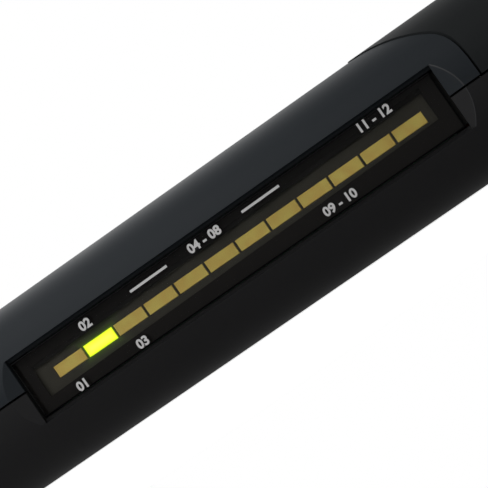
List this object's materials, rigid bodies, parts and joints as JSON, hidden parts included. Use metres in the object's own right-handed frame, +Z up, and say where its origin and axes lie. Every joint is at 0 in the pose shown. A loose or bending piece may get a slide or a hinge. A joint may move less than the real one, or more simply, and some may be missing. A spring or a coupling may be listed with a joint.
{
  "type": "diamond tester",
  "caption": "Pen-shaped hand-held diamond tester: round two-shell handle with a smoked light bar window, sprung metal probe under a clear cap, push button and sliding battery cover.",
  "frame": {"origin": "middle of the overall length and width, on the surface that the tester lies on", "axes": "+X from the nose to the tail, window facing -Y, +Z up"},
  "size_m": [0.1922, 0.025, 0.0248],
  "materials": {
    "shell_lower": "fine satin",
    "shell_upper": "fine satin",
    "cover": "fine satin",
    "collar": "polished",
    "cone": "satin",
    "cap": "clear",
    "barrel": "polished",
    "pin": "polished copper",
    "spring_wire": "drawn wire",
    "socket": "plain",
    "leads": "plain",
    "lens": "smoked gloss",
    "mask": "printed",
    "bar_carrier": "satin",
    "bars_off": "diffuse",
    "bar_on": "lit",
    "board": "solder mask",
    "header": "plain",
    "chip": "plain",
    "capacitor": "sleeved",
    "buzzer": "plain",
    "button": "satin",
    "switch": "plain",
    "finger_plate": "brushed",
    "tray": "plain",
    "cell": "plain sleeve",
    "contact": "plated",
    "screw": "plated"
  },
  "bodies": {
    "handle": {"lower_shell": "shell_lower", "upper_shell": "shell_upper", "nose_collar": "collar", "nose_cone": "cone", "probe_barrel": "barrel", "probe_spring": "spring_wire", "probe_socket": "socket", "probe_leads": "leads", "display_lens": "lens", "display_mask": "mask", "led_bar": "bar_carrier", "led_segments": "bars_off", "ready_segment": "bar_on", "display_board": "board", "board_header": "header", "main_board": "board", "controller_chip": "chip", "capacitors": "capacitor", "buzzer": "buzzer", "switch_body": "switch", "finger_plates": "finger_plate", "battery_tray": "tray", "cell_right": "cell", "cell_left": "cell", "contact_springs": "contact", "contact_plates": "contact", "battery_leads": "leads", "case_screws": "screw", "board_screws": "screw"},
    "cover": {"battery_cover": "cover"},
    "cap": {"protective_cap": "cap"},
    "probe": {"probe_pin": "pin"},
    "button": {"power_button": "button", "switch_stem": "switch"}
  },
  "joints": [
    {"name": "cover_slide", "type": "slide", "parent": "handle", "child": "cover", "axis": [1, 0, 0], "range_m": [0, 0.058]},
    {"name": "cap_pull", "type": "slide", "parent": "handle", "child": "cap", "axis": [-1, 0, 0], "range_m": [0, 0.032]},
    {"name": "probe_press", "type": "slide", "parent": "handle", "child": "probe", "axis": [1, 0, 0], "range_m": [0, 0.0015], "stiffness_N_per_m": 400, "springref_m": -0.001, "deforming": ["probe_spring"]},
    {"name": "button_press", "type": "slide", "parent": "handle", "child": "button", "axis": [0, 0, -1], "range_m": [0, 0.0005], "stiffness_N_per_m": 2000, "springref_m": -0.0005}
  ]
}
